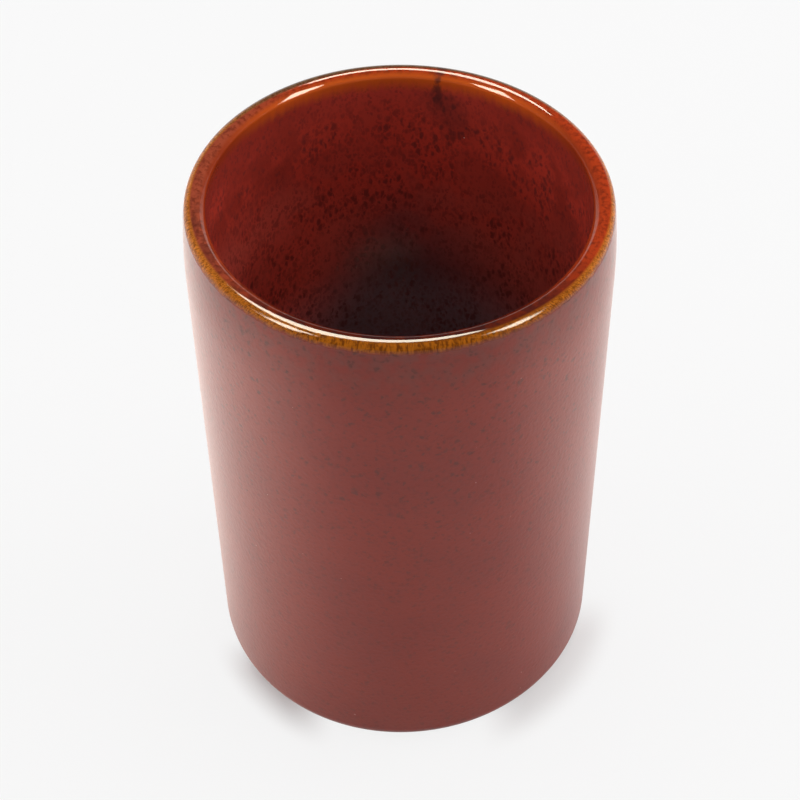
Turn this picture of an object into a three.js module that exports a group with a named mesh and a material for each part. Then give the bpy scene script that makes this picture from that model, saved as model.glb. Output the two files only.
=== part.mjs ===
// A handleless espresso cup: a stoneware body on a foot ring, under three coats of fired glaze.
// Sizes are in millimetres, +Z is up, and the origin is the middle of the foot, on the table.

import * as THREE from 'three';

// Overall size, over the glaze
const HEIGHT = 80; // table to the crest of the lip
const RIM_DIAMETER = 55; // outside wall, carried up to the height of the lip
const BASE_DIAMETER = 54; // outside wall, carried down to the table

// Stoneware body, without its glaze
const WALL = 2;
const FLOOR = 4; // between the hollow under the foot and the inside of the cup
const INNER_CORNER = 9; // round from the inside wall to the floor
const SHOULDER_HEIGHT = 10; // from the crest of the clay down to where the wall starts to close in
const SHOULDER_RADIUS = 80; // slow curve of the outside wall, in towards the lip
const LIP_INNER_ROUND = 0.6; // edge between the lip and the inside wall
const LIP_FLAT = 0.2; // level strip along the crest; the outer lip round takes the rest of the wall

// Foot
const FOOT_ROUND = 2.4; // round from the outside wall to the underside
const FOOT_HEIGHT = 0.7; // underside above the table
const FOOT_INSET = 0.4; // from the end of the foot round in to the foot ring
const FOOT_RING_WIDTH = 3.5;
const FOOT_CHAMFER = 0.3; // broken edges of the foot ring
const FOOT_RECESS = 1.2; // hollow inside the foot ring

// Glaze coats
const OUTSIDE_GLAZE = 0.35;
const INSIDE_GLAZE = 0.35;
const RIM_GLAZE = 0.2; // where the glaze runs thin on the crest of the lip
const POOL_GLAZE = 1; // where the glaze gathers on the floor
const RIM_BAND_OUTSIDE = 0.2; // rim coat's edge, below the outer lip round
const RIM_BAND_INSIDE = 1.2; // rim coat's edge, below the inner lip round
const GLAZE_LINE = THREE.MathUtils.degToRad(75); // angle round the foot where the wiped glaze stops

// Finishes
const BARE_CLAY = { color: '#b08d6c', roughness: 0.85, metalness: 0 };
const SATIN_RED_BROWN = { color: '#7a3d35', roughness: 0.4, metalness: 0 };
const BREAKING_AMBER = { color: '#93501c', roughness: 0.2, metalness: 0 };
const GLOSS_DARK_RED = { color: '#5f1a14', roughness: 0.15, metalness: 0 };

// Fineness of the facets
const SIDES = 60;
const FOOT_STEPS = 5;
const BARE_STEPS = 1;
const SHOULDER_STEPS = 4;
const LIP_OUTER_STEPS = 5;
const LIP_INNER_STEPS = 4;
const CORNER_STEPS = 6;

// Directions in the section
const DOWN = -Math.PI / 2;
const UP = Math.PI / 2;

// The wall leans outwards by the draft of its mould
const draft = Math.atan((RIM_DIAMETER - BASE_DIAMETER) / 2 / HEIGHT);
const lean = Math.cos(draft);

// Radius of the clay's outside wall at a height
function outsideRadius(z) {
  return BASE_DIAMETER / 2 + z * Math.tan(draft) - OUTSIDE_GLAZE / lean;
}

// Radius of the clay's inside wall at a height
function insideRadius(z) {
  return outsideRadius(z) - WALL / lean;
}

// Centre of a round that touches a wall from inside
function roundCentre(wallRadius, z, radius) {
  return new THREE.Vector2(wallRadius(z) - radius / lean, z);
}

// The clay's section is made of points with a place, at, and the direction that glaze builds up in, out.
// A round stretch has its glaze outside the arc, or inside it where it is hollow.
function roundStretch(centre, radius, from, to, steps, hollow = false) {
  return Array.from({ length: steps + 1 }, (_, step) => {
    const angle = THREE.MathUtils.lerp(from, to, step / steps);
    const ray = new THREE.Vector2(Math.cos(angle), Math.sin(angle));
    const at = centre.clone().addScaledVector(ray, radius);
    return { at, out: hollow ? ray.negate() : ray };
  });
}

// Foot round, from the underside up to the outside wall, bare below the glaze line
const footCentre = roundCentre(outsideRadius, FOOT_HEIGHT + FOOT_ROUND, FOOT_ROUND);
const bareFoot = roundStretch(footCentre, FOOT_ROUND, DOWN, -GLAZE_LINE, BARE_STEPS);
const glazedFoot = roundStretch(footCentre, FOOT_ROUND, -GLAZE_LINE, -draft, FOOT_STEPS);

// Shoulder, where both walls close in round one centre
const clayTop = HEIGHT - RIM_GLAZE;
const shoulderCentre = roundCentre(outsideRadius, clayTop - SHOULDER_HEIGHT, SHOULDER_RADIUS);
const shoulderInner = SHOULDER_RADIUS - WALL;

// A lip round lies a distance from the centre of the shoulder and reaches up to the crest of the clay.
// It takes over from the shoulder at the angle of its turn.
function lipRound(distance, radius) {
  const turn = Math.asin((clayTop - radius - shoulderCentre.y) / distance);
  const ray = new THREE.Vector2(Math.cos(turn), Math.sin(turn));
  return { centre: shoulderCentre.clone().addScaledVector(ray, distance), radius, turn };
}

// Lip, over the crest from the outside to the inside of the shoulder
const lipOuterRound = WALL - LIP_INNER_ROUND - LIP_FLAT;
const outer = lipRound(SHOULDER_RADIUS - lipOuterRound, lipOuterRound);
const inner = lipRound(shoulderInner + LIP_INNER_ROUND, LIP_INNER_ROUND);
const lipOuter = roundStretch(outer.centre, outer.radius, outer.turn, UP, LIP_OUTER_STEPS);
const lipInner = roundStretch(inner.centre, inner.radius, UP, Math.PI + inner.turn, LIP_INNER_STEPS);

// Shoulder on both sides, up to the edges of the rim coat
const bandOutsideTurn = outer.turn - RIM_BAND_OUTSIDE / SHOULDER_RADIUS;
const bandInsideTurn = inner.turn - RIM_BAND_INSIDE / shoulderInner;
const outsideShoulder = roundStretch(shoulderCentre, SHOULDER_RADIUS, -draft, bandOutsideTurn, SHOULDER_STEPS);
const insideShoulder = roundStretch(shoulderCentre, shoulderInner, bandInsideTurn, -draft, SHOULDER_STEPS, true);

// Inside corner, from the inside wall to the floor, and the middle of the floor
const floorZ = FOOT_RECESS + FLOOR;
const cornerCentre = roundCentre(insideRadius, floorZ + INNER_CORNER, INNER_CORNER);
const corner = roundStretch(cornerCentre, INNER_CORNER, -draft, DOWN, CORNER_STEPS, true);
const floorMiddle = { at: new THREE.Vector2(0, floorZ), out: new THREE.Vector2(0, 1) };

// A body of revolution about +Z, from a section of radii and heights
function turned(section) {
  return new THREE.LatheGeometry(section, SIDES).rotateX(Math.PI / 2);
}

// Stoneware body: hollow underside, foot ring, outside wall, shoulder, lip, inside wall and floor
function stonewareBody() {
  const ringOuter = footCentre.x - FOOT_INSET;
  const ringInner = ringOuter - FOOT_RING_WIDTH;
  const underside = [
    new THREE.Vector2(0, FOOT_RECESS),
    new THREE.Vector2(ringInner, FOOT_RECESS),
    new THREE.Vector2(ringInner, FOOT_CHAMFER),
    new THREE.Vector2(ringInner + FOOT_CHAMFER, 0),
    new THREE.Vector2(ringOuter - FOOT_CHAMFER, 0),
    new THREE.Vector2(ringOuter, FOOT_CHAMFER),
    new THREE.Vector2(ringOuter, FOOT_HEIGHT),
  ];
  const skin = [
    ...bareFoot.slice(0, -1),
    ...glazedFoot,
    ...outsideShoulder,
    ...lipOuter,
    ...lipInner,
    ...insideShoulder,
    ...corner,
    floorMiddle,
  ];
  return turned([...underside, ...skin.map((point) => point.at)]);
}

// A coat of glaze on a stretch of the clay, with a thickness at each of its points.
// A section that doesn't reach the axis closes on itself.
function glazeCoat(stretch, thicknesses) {
  const against = stretch.map((point) => point.at).reverse();
  const surface = stretch.map((point, i) => point.at.clone().addScaledVector(point.out, thicknesses[i]));
  const section = [...against, ...surface];
  if (against[0].x > 0) {
    section.push(against[0]);
  }
  return turned(section);
}

// Outside coat, from the glaze line on the foot up to the rim band
function outsideCoat() {
  const stretch = [...glazedFoot, ...outsideShoulder];
  return glazeCoat(stretch, stretch.map(() => OUTSIDE_GLAZE));
}

// Thickness of glaze on the lip: full where the lip starts from the shoulder, thin on the crest
function lipThickness(point, wallGlaze) {
  return THREE.MathUtils.lerp(wallGlaze, RIM_GLAZE, Math.max(point.out.y, 0));
}

// Rim coat, over the lip from the outside coat to the inside coat
function rimCoat() {
  const thicknesses = [
    OUTSIDE_GLAZE,
    ...lipOuter.map((point) => lipThickness(point, OUTSIDE_GLAZE)),
    ...lipInner.map((point) => lipThickness(point, INSIDE_GLAZE)),
    INSIDE_GLAZE,
  ];
  return glazeCoat([outsideShoulder.at(-1), ...lipOuter, ...lipInner, insideShoulder[0]], thicknesses);
}

// Inside coat, growing thicker round the corner into the pool on the floor
function insideCoat() {
  const even = insideShoulder.map(() => INSIDE_GLAZE);
  const gathered = corner.map((_, step) => {
    return THREE.MathUtils.lerp(INSIDE_GLAZE, POOL_GLAZE, step / CORNER_STEPS);
  });
  return glazeCoat([...insideShoulder, ...corner, floorMiddle], [...even, ...gathered, POOL_GLAZE]);
}

// A named sub-part with its finish
function subPart(name, geometry, finish) {
  const mesh = new THREE.Mesh(geometry, new THREE.MeshStandardMaterial(finish));
  mesh.name = name;
  return mesh;
}

const espressoCup = new THREE.Group();
espressoCup.add(subPart('stoneware_body', stonewareBody(), BARE_CLAY));
espressoCup.add(subPart('outside_glaze', outsideCoat(), SATIN_RED_BROWN));
espressoCup.add(subPart('rim_glaze', rimCoat(), BREAKING_AMBER));
espressoCup.add(subPart('inside_glaze', insideCoat(), GLOSS_DARK_RED));

export default espressoCup;
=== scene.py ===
# %% [markdown]
# # A handleless espresso cup
# The real cup is one piece of fired stoneware without a handle, and what the eye sees of it is glaze: a
# satin red-brown coat outside, a gloss dark red coat inside, and an amber break over the lip, where the
# glaze ran thin. The construction is packed as solids at their real size, so this lesson only dresses it.
# Each solid is turned again with fine facets and a little of the unevenness of a real cup, and then it
# gets a finish made of nodes.

import math

import bmesh
import bpy
from mathutils import Matrix, Vector


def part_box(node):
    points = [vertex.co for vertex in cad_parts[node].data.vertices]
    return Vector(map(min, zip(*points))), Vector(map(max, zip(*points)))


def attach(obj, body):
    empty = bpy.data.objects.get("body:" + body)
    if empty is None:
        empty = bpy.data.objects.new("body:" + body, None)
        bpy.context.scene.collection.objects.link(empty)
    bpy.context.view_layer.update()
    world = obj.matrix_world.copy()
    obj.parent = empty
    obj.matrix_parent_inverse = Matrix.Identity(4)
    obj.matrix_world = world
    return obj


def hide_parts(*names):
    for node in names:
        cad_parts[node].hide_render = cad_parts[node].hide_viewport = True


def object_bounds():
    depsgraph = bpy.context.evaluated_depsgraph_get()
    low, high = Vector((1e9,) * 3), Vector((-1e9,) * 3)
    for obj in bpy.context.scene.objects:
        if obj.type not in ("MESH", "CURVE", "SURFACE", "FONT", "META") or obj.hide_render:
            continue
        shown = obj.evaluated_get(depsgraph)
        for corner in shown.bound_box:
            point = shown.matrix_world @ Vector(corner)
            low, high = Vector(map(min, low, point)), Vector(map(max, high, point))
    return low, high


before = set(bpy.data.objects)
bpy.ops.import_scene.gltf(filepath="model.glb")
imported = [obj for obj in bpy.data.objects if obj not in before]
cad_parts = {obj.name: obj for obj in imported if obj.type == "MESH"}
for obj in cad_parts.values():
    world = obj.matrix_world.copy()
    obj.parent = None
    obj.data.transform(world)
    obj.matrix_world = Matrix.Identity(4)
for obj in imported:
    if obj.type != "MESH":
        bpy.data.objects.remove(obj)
cad_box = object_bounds()
print("Packed cup, metres:", [[round(c, 5) for c in corner] for corner in cad_box])

# %% [markdown]
# ## Sizes
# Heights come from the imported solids, so that the coats meet where the solids meet. What a box can't tell,
# such as the thickness of a wall or the round of an edge, is written here once, in metres.

# %% Sizes that the pieces share
MM = 0.001
HEIGHT = cad_box[1].z
CLAY_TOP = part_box("stoneware_body")[1].z
FLOOR_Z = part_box("inside_glaze")[0].z
BAND_OUTSIDE_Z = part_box("outside_glaze")[1].z
BAND_INSIDE_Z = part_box("inside_glaze")[1].z
RIM_RADIUS = 27.5 * MM
BASE_RADIUS = 27 * MM
WALL = 2 * MM
OUTSIDE_GLAZE = 0.35 * MM
INSIDE_GLAZE = 0.35 * MM
POOL_GLAZE = 1 * MM
RIM_GLAZE = HEIGHT - CLAY_TOP
LIP_INNER_ROUND = 0.6 * MM
LIP_FLAT = 0.2 * MM
LIP_OUTER_ROUND = WALL - LIP_INNER_ROUND - LIP_FLAT
SHOULDER_HEIGHT = 10 * MM
SHOULDER_RADIUS = 80 * MM
INNER_CORNER = 9 * MM
FOOT_ROUND = 2.4 * MM
FOOT_HEIGHT = 0.7 * MM
FOOT_INSET = 0.4 * MM
FOOT_RING_WIDTH = 3.5 * MM
FOOT_EDGE = 0.3 * MM
FOOT_RECESS = 1.2 * MM
DRAFT = math.atan((RIM_RADIUS - BASE_RADIUS) / HEIGHT)
LEAN = math.cos(DRAFT)
print("Clay up to", round(CLAY_TOP / MM, 2), "mm, under", round(RIM_GLAZE / MM, 2), "mm of rim glaze")

# %% [markdown]
# ## The section of the cup
# A turned pot is settled by its section, the outline that a cut from rim to foot would show. A curve
# object could hold it, but plain points are easier to thicken into coats: every point keeps its place on
# the clay and the direction in which glaze builds up there. Round stretches are arcs that touch the
# leaning walls, and at the top both walls close in a little round one centre, as hands at the wheel leave
# them.

# %% Stretches of the section
UP = math.pi / 2
DOWN = -math.pi / 2


def clay_outside(z):
    """Radius of the clay's outside wall at a height."""
    return BASE_RADIUS + z * math.tan(DRAFT) - OUTSIDE_GLAZE / LEAN


def clay_inside(z):
    """Radius of the clay's inside wall at a height."""
    return clay_outside(z) - WALL / LEAN


def round_centre(wall_radius, z, radius):
    """Centre of a round that touches a wall from inside."""
    return Vector((wall_radius(z) - radius / LEAN, z))


def round_stretch(centre, radius, start, stop, steps, hollow=False):
    """Points along an arc, each with the direction that glaze builds up in."""
    stretch = []
    for step in range(steps + 1):
        angle = start + (stop - start) * step / steps
        ray = Vector((math.cos(angle), math.sin(angle)))
        stretch.append((centre + ray * radius, -ray if hollow else ray))
    return stretch


def straight_stretch(first, last, steps):
    """Points on the line between two points of the section, without those two."""
    return [(first[0].lerp(last[0], step / steps), first[1]) for step in range(1, steps)]


SHOULDER_STEPS = 12
LIP_STEPS = 16
WALL_STEPS = 14
CORNER_STEPS = 16
shoulder_centre = round_centre(clay_outside, CLAY_TOP - SHOULDER_HEIGHT, SHOULDER_RADIUS)
shoulder_inner = SHOULDER_RADIUS - WALL


def shoulder_turn(z, distance):
    """Angle of a point at a height and at a distance from the centre of the shoulder."""
    return math.asin((z - shoulder_centre.y) / distance)


def lip_round(distance, radius, top):
    """Centre of a lip round that reaches a top, and the angle at which it takes over from the shoulder."""
    turn = shoulder_turn(top - radius, distance)
    return shoulder_centre + Vector((math.cos(turn), math.sin(turn))) * distance, turn


outer_centre, outer_turn = lip_round(SHOULDER_RADIUS - LIP_OUTER_ROUND, LIP_OUTER_ROUND, CLAY_TOP)
inner_centre, inner_turn = lip_round(shoulder_inner + LIP_INNER_ROUND, LIP_INNER_ROUND, CLAY_TOP)
lip_outer = round_stretch(outer_centre, LIP_OUTER_ROUND, outer_turn, UP, LIP_STEPS)
lip_inner = round_stretch(inner_centre, LIP_INNER_ROUND, UP, math.pi + inner_turn, LIP_STEPS)
band_outside = shoulder_turn(BAND_OUTSIDE_Z, SHOULDER_RADIUS + OUTSIDE_GLAZE)
band_inside = shoulder_turn(BAND_INSIDE_Z, shoulder_inner)
outside_shoulder = round_stretch(shoulder_centre, SHOULDER_RADIUS, -DRAFT, band_outside, SHOULDER_STEPS)
inside_shoulder = round_stretch(
    shoulder_centre, shoulder_inner, band_inside, -DRAFT, SHOULDER_STEPS, hollow=True,
)
corner_centre = round_centre(clay_inside, FLOOR_Z + INNER_CORNER, INNER_CORNER)
corner = round_stretch(corner_centre, INNER_CORNER, -DRAFT, DOWN, CORNER_STEPS, hollow=True)
floor_middle = (Vector((0, FLOOR_Z)), Vector((0, 1)))
inside_wall = straight_stretch(inside_shoulder[-1], corner[0], WALL_STEPS)
floor_rows = straight_stretch(corner[-1], floor_middle, WALL_STEPS)
print("Lip rounds, mm:", round(LIP_OUTER_ROUND / MM, 2), "and", round(LIP_INNER_ROUND / MM, 2))

# %% [markdown]
# ## Foot and glaze line
# Glaze would stick the cup to the kiln shelf, so the foot is wiped clean before the firing. The line that
# the sponge leaves wanders a little round the foot. A straight line would look machined, so its angle on
# the foot round is a sum of a slow and a quicker wave.

# %% The foot round and the wandering glaze line
FOOT_STEPS = 14
GLAZE_LINE = math.radians(75)
GLAZE_LINE_WANDER = math.radians(4)
foot_centre = round_centre(clay_outside, FOOT_HEIGHT + FOOT_ROUND, FOOT_ROUND)


def glaze_line(angle):
    """Angle down the foot round at which the glaze stops, on one side of the cup."""
    slow = math.sin(3 * angle + 0.7)
    quick = 0.4 * math.sin(8 * angle + 2)
    return GLAZE_LINE + GLAZE_LINE_WANDER * (slow + quick)


clay_foot = round_stretch(foot_centre, FOOT_ROUND, DOWN, -DRAFT, FOOT_STEPS)
outside_wall = straight_stretch(clay_foot[-1], outside_shoulder[0], WALL_STEPS)
print("Glaze stops", round(math.degrees(glaze_line(0)), 1), "degrees down the foot round on the right side")

# %% [markdown]
# ## Turning on the wheel
# Blender's Screw modifier or bmesh spin could turn a section, but both make a perfect body. Here each
# spoke of the wheel asks for its own section, so the glaze line can wander, and every point goes through
# one function that swells the rim and the foot, lifts the lip and leans the cup by a hair, as drying and
# firing do. All coats share it, so they stay in touch.

# %% The wheel and the hand
SIDES = 240
RIM_OVAL = 0.085 * MM
RIM_OVAL_ANGLE = math.radians(115)
FOOT_LOBES = 0.15 * MM
FOOT_LOBE_ANGLE = math.radians(250)
RIM_LIFT = 0.05 * MM
RIM_LIFT_ANGLE = math.pi
RIM_LIFT_POWER = 8
RIM_SHIFT = 0.08 * MM
SHARP_EDGE = math.radians(38)
NEAR_AXIS = 0.1 * MM
WELD = MM / 10000


def by_hand(point, angle):
    """A point of the section, turned to an angle and moved to where firing leaves it."""
    rise = point.y / HEIGHT
    oval = RIM_OVAL * rise * math.cos(2 * (angle - RIM_OVAL_ANGLE))
    lobes = FOOT_LOBES * (1 - rise) * math.cos(3 * (angle - FOOT_LOBE_ANGLE))
    radius = point.x * (1 + (oval + lobes) / RIM_RADIUS)
    lift = RIM_LIFT * rise ** RIM_LIFT_POWER * math.cos(angle - RIM_LIFT_ANGLE) * point.x / RIM_RADIUS
    return Vector((radius * math.cos(angle) + RIM_SHIFT * rise, radius * math.sin(angle), point.y + lift))


def turned(name, section_at):
    """A closed piece turned from sections that close on themselves or start and end on the axis."""
    wheel = bmesh.new()
    spokes = []
    for side in range(SIDES):
        angle = 2 * math.pi * side / SIDES
        spokes.append([wheel.verts.new(by_hand(point, angle)) for point in section_at(angle)])
    count = len(spokes[0])
    on_axis = spokes[0][0].co.xy.length < NEAR_AXIS and spokes[0][-1].co.xy.length < NEAR_AXIS
    for side in range(SIDES):
        here, there = spokes[side], spokes[(side + 1) % SIDES]
        for row in range(count - 1 if on_axis else count):
            above = (row + 1) % count
            wheel.faces.new((here[row], there[row], there[above], here[above]))
    bmesh.ops.remove_doubles(wheel, verts=wheel.verts, dist=WELD)
    bmesh.ops.recalc_face_normals(wheel, faces=wheel.faces)
    mesh = bpy.data.meshes.new(name)
    wheel.to_mesh(mesh)
    wheel.free()
    mesh.shade_smooth()
    mesh.set_sharp_from_angle(angle=SHARP_EDGE)
    piece = bpy.data.objects.new(name, mesh)
    bpy.context.scene.collection.objects.link(piece)
    print(name, "has", len(mesh.polygons), "faces")
    return piece


# %% [markdown]
# ## The stoneware body
# Only the foot of the clay shows: a bare ring that the cup stands on, with a shallow hollow inside it. The
# whole body is turned all the same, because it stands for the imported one. The ring's edges are small arcs,
# since they are rounded with a finger, and the hollow ends in a soft corner.

# %% Turn the clay
EDGE_STEPS = 5
ring_outer = foot_centre.x - FOOT_INSET
ring_inner = ring_outer - FOOT_RING_WIDTH
recess_corner = Vector((ring_inner - FOOT_EDGE, FOOT_RECESS - FOOT_EDGE))
ring_inner_edge = Vector((ring_inner + FOOT_EDGE, FOOT_EDGE))
ring_outer_edge = Vector((ring_outer - FOOT_EDGE, FOOT_EDGE))
underside = [
    Vector((0, FOOT_RECESS)),
    *[at for at, out in round_stretch(recess_corner, FOOT_EDGE, UP, 0, EDGE_STEPS)],
    *[at for at, out in round_stretch(ring_inner_edge, FOOT_EDGE, math.pi, 1.5 * math.pi, EDGE_STEPS)],
    *[at for at, out in round_stretch(ring_outer_edge, FOOT_EDGE, DOWN, 0, EDGE_STEPS)],
    Vector((ring_outer, FOOT_HEIGHT)),
]
clay_skin = [
    *clay_foot, *outside_wall, *outside_shoulder, *lip_outer, *lip_inner,
    *inside_shoulder, *inside_wall, *corner, *floor_rows, floor_middle,
]
clay_section = [*underside, *[at for at, out in clay_skin]]
clay_cup = turned("clay_cup", lambda angle: clay_section)

# %% [markdown]
# ## The three coats of glaze
# A coat is the same stretch of skin twice: once against the clay, and once moved out by the thickness of
# the glaze. Glaze gathers on the floor and ends in a small bead at the foot. Thin shells like these could
# come from a Solidify modifier, but that can't vary along the section.

# %% A coat from a stretch of skin
def coat_section(stretch, thicknesses):
    """The closed outline of a coat of glaze, against the clay and back over its surface."""
    against = [at for at, out in stretch]
    surface = [at + out * thick for (at, out), thick in zip(stretch, thicknesses)]
    return [*reversed(against), *surface]


def blend_sizes(first, last, share):
    """A size on the way from one to another."""
    return first + (last - first) * share


# %% Turn the satin coat outside
BEAD_SHAPE = [0.3, 0.75, 1.0, 1.15, 1.15, 1.08, 1.02]


def satin_section(angle):
    """The outside coat on one side of the cup, with a bead along the glaze line."""
    foot = round_stretch(foot_centre, FOOT_ROUND, -glaze_line(angle), -DRAFT, FOOT_STEPS)
    stretch = [*foot, *outside_wall, *outside_shoulder]
    shape = BEAD_SHAPE + [1.0] * (len(stretch) - len(BEAD_SHAPE))
    return coat_section(stretch, [OUTSIDE_GLAZE * share for share in shape])


satin_coat = turned("satin_coat", satin_section)

# %% [markdown]
# ## Glaze over the lip
# On the lip the glaze was soft enough to find its own shape. It rolls over the outer edge in one round,
# turns inwards over the crest, runs down a nearly flat slope, and drops into the well at a narrow edge.
# Each is an arc that touches the one before, and the last is sized so that it also touches the inside
# wall.

# %% Turn the amber coat over the lip
FLOW_OUTER_ROUND = 1.4 * MM
FLOW_CREST_FLAT = 0.15 * MM
FLOW_CREST_ROUND = 0.95 * MM
FLOW_SLOPE_ROUND = 3 * MM
SLOPE_START = UP + math.radians(33)
SLOPE_STOP = UP + math.radians(46)


def ray_at(angle):
    """Direction of an angle in the section."""
    return Vector((math.cos(angle), math.sin(angle)))


outer_surface = SHOULDER_RADIUS + OUTSIDE_GLAZE
inner_surface = shoulder_inner - INSIDE_GLAZE
flow_centre, flow_turn = lip_round(outer_surface - FLOW_OUTER_ROUND, FLOW_OUTER_ROUND, HEIGHT)
crest_centre = Vector((flow_centre.x - FLOW_CREST_FLAT, HEIGHT - FLOW_CREST_ROUND))
slope_centre = crest_centre - ray_at(SLOPE_START) * (FLOW_SLOPE_ROUND - FLOW_CREST_ROUND)
slope_ray = ray_at(SLOPE_STOP)
slope_end = slope_centre + slope_ray * FLOW_SLOPE_ROUND - shoulder_centre
edge_reach = 2 * (inner_surface + slope_end.dot(slope_ray))
edge_round = (slope_end.length_squared - inner_surface ** 2) / edge_reach
edge_centre = slope_end - slope_ray * edge_round + shoulder_centre
edge_stop = math.pi + shoulder_turn(edge_centre.y, inner_surface + edge_round)
flow = [
    *round_stretch(flow_centre, FLOW_OUTER_ROUND, flow_turn, UP, LIP_STEPS),
    *round_stretch(crest_centre, FLOW_CREST_ROUND, UP, SLOPE_START, LIP_STEPS),
    *round_stretch(slope_centre, FLOW_SLOPE_ROUND, SLOPE_START, SLOPE_STOP, LIP_STEPS)[1:],
    *round_stretch(edge_centre, edge_round, SLOPE_STOP, edge_stop, LIP_STEPS)[1:],
]
amber_against = [outside_shoulder[-1], *lip_outer, *lip_inner, inside_shoulder[0]]
amber_section = [
    *[at for at, out in reversed(amber_against)],
    outside_shoulder[-1][0] + outside_shoulder[-1][1] * OUTSIDE_GLAZE,
    *[at for at, out in flow],
    inside_shoulder[0][0] + inside_shoulder[0][1] * INSIDE_GLAZE,
]
amber_lip = turned("amber_lip", lambda angle: amber_section)
thinnest = min((at - clay_at).length for at, out in flow for clay_at, clay_out in amber_against)
print("Edge round", round(edge_round / MM, 2), "mm, thinnest glaze on the lip", round(thinnest / MM, 3), "mm")

# %% Turn the gloss coat inside
gathering = [blend_sizes(INSIDE_GLAZE, POOL_GLAZE, step / CORNER_STEPS) for step in range(CORNER_STEPS + 1)]
gloss_stretch = [*inside_shoulder, *inside_wall, *corner, *floor_rows, floor_middle]
gloss_section = coat_section(gloss_stretch, [
    *[INSIDE_GLAZE] * len(inside_shoulder + inside_wall),
    *gathering,
    *[POOL_GLAZE] * len(floor_rows),
    POOL_GLAZE,
])
gloss_well = turned("gloss_well", lambda angle: gloss_section)

# %% [markdown]
# ## Helpers for finishes
# Shader nodes are wired by hand in Blender's editor. In a script, small helpers keep that readable: they
# put a node in place and fill its sockets, work out and mix values, and make an empty node group with
# named sockets. A finish that more than one material needs is such a group, built once. A pair of numbers
# says where a change starts and where it is complete: a depth or a distance in millimetres, or a level of
# a noise.

# %% Small node helpers
def put(tree, kind, inputs=None, **settings):
    """Adds a node, sets it up, and fills its sockets with values or with links from other sockets."""
    node = tree.nodes.new(kind)
    for name, value in settings.items():
        setattr(node, name, value)
    for name, value in (inputs or {}).items():
        if isinstance(value, bpy.types.NodeSocket):
            tree.links.new(value, node.inputs[name])
        else:
            node.inputs[name].default_value = value
    return node


def calc(tree, operation, first, second=0.0):
    """The result of a sum on two numbers."""
    return put(tree, "ShaderNodeMath", {0: first, 1: second}, operation=operation).outputs[0]


def ramp(tree, value, low, high, to_low=0.0, to_high=1.0):
    """A smooth step: to_low up to low, to_high from high on."""
    sockets = {"Value": value, "From Min": low, "From Max": high, "To Min": to_low, "To Max": to_high}
    return put(tree, "ShaderNodeMapRange", sockets, interpolation_type="SMOOTHSTEP").outputs["Result"]


def mix(tree, share, first, second, blend_type="MIX"):
    """Two colours mixed by a share."""
    sockets = {0: share, 6: first, 7: second}
    return put(tree, "ShaderNodeMix", sockets, data_type="RGBA", blend_type=blend_type).outputs[2]


def number_mix(tree, share, first, second):
    """Two numbers mixed by a share."""
    return put(tree, "ShaderNodeMix", {0: share, 2: first, 3: second}, data_type="FLOAT").outputs[0]


def vector_calc(tree, operation, first, second=(0, 0, 0)):
    """The vector that a sum on two vectors gives."""
    return put(tree, "ShaderNodeVectorMath", {0: first, 1: second}, operation=operation).outputs["Vector"]


def vector_measure(tree, operation, first, second=(0, 0, 0)):
    """The number that two vectors give, such as the distance between them."""
    return put(tree, "ShaderNodeVectorMath", {0: first, 1: second}, operation=operation).outputs["Value"]


def scaled(tree, vector, scale):
    """A vector times a number."""
    return put(tree, "ShaderNodeVectorMath", {0: vector, "Scale": scale}, operation="SCALE").outputs["Vector"]


def noise(tree, vector, scale, detail=2.0, roughness=0.5):
    """A soft cloud of values from about 0.2 to 0.8."""
    sockets = {"Vector": vector, "Scale": scale, "Detail": detail, "Roughness": roughness}
    return put(tree, "ShaderNodeTexNoise", sockets).outputs[0]


def new_group(name, inputs, outputs):
    """An empty node group with named sockets, and its two ends."""
    tree = bpy.data.node_groups.new(name, "ShaderNodeTree")
    for label, kind in inputs:
        tree.interface.new_socket(label, in_out="INPUT", socket_type=kind)
    for label, kind in outputs:
        tree.interface.new_socket(label, in_out="OUTPUT", socket_type=kind)
    return tree, tree.nodes.new("NodeGroupInput"), tree.nodes.new("NodeGroupOutput")


def use(tree, group, inputs=None):
    """A node group placed in a tree, with its own values."""
    return put(tree, "ShaderNodeGroup", inputs, node_tree=group).outputs


NUMBER = "NodeSocketFloat"
COLOUR = "NodeSocketColor"
VECTOR = "NodeSocketVector"
CLOUD_EDGES = (0.35, 0.65)
CLOUD_SPAN = (0.25, 0.75)
print("Node helpers are ready")

# %% [markdown]
# ## Where a point of the cup is
# Glaze knows up from down and inside from outside, so the finishes need a place in the cup's own terms:
# how far below the crest, how far from the axis, and where round the rim. Going round by an angle would
# leave a seam behind the cup, so the place round the rim is a point on a circle, which noise can follow
# without one.

# %% Group: place on the cup, in millimetres
PLACE, place_in, place_out = new_group(
    "Place on the cup", [],
    [("Point", VECTOR), ("Around", VECTOR), ("Depth", NUMBER), ("Radius", NUMBER)],
)
object_point = put(PLACE, "ShaderNodeTexCoord").outputs["Object"]
point_mm = scaled(PLACE, object_point, 1 / MM)
apart = put(PLACE, "ShaderNodeSeparateXYZ", {0: point_mm}).outputs
level_point = put(PLACE, "ShaderNodeCombineXYZ", {"X": apart["X"], "Y": apart["Y"]}).outputs[0]
unit_point = vector_calc(PLACE, "NORMALIZE", level_point)
around_point = scaled(PLACE, unit_point, RIM_RADIUS / MM)
reach = vector_measure(PLACE, "LENGTH", level_point)
PLACE.links.new(point_mm, place_out.inputs["Point"])
PLACE.links.new(around_point, place_out.inputs["Around"])
PLACE.links.new(calc(PLACE, "SUBTRACT", HEIGHT / MM, apart["Z"]), place_out.inputs["Depth"])
PLACE.links.new(reach, place_out.inputs["Radius"])
print("Group:", PLACE.name)

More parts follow.
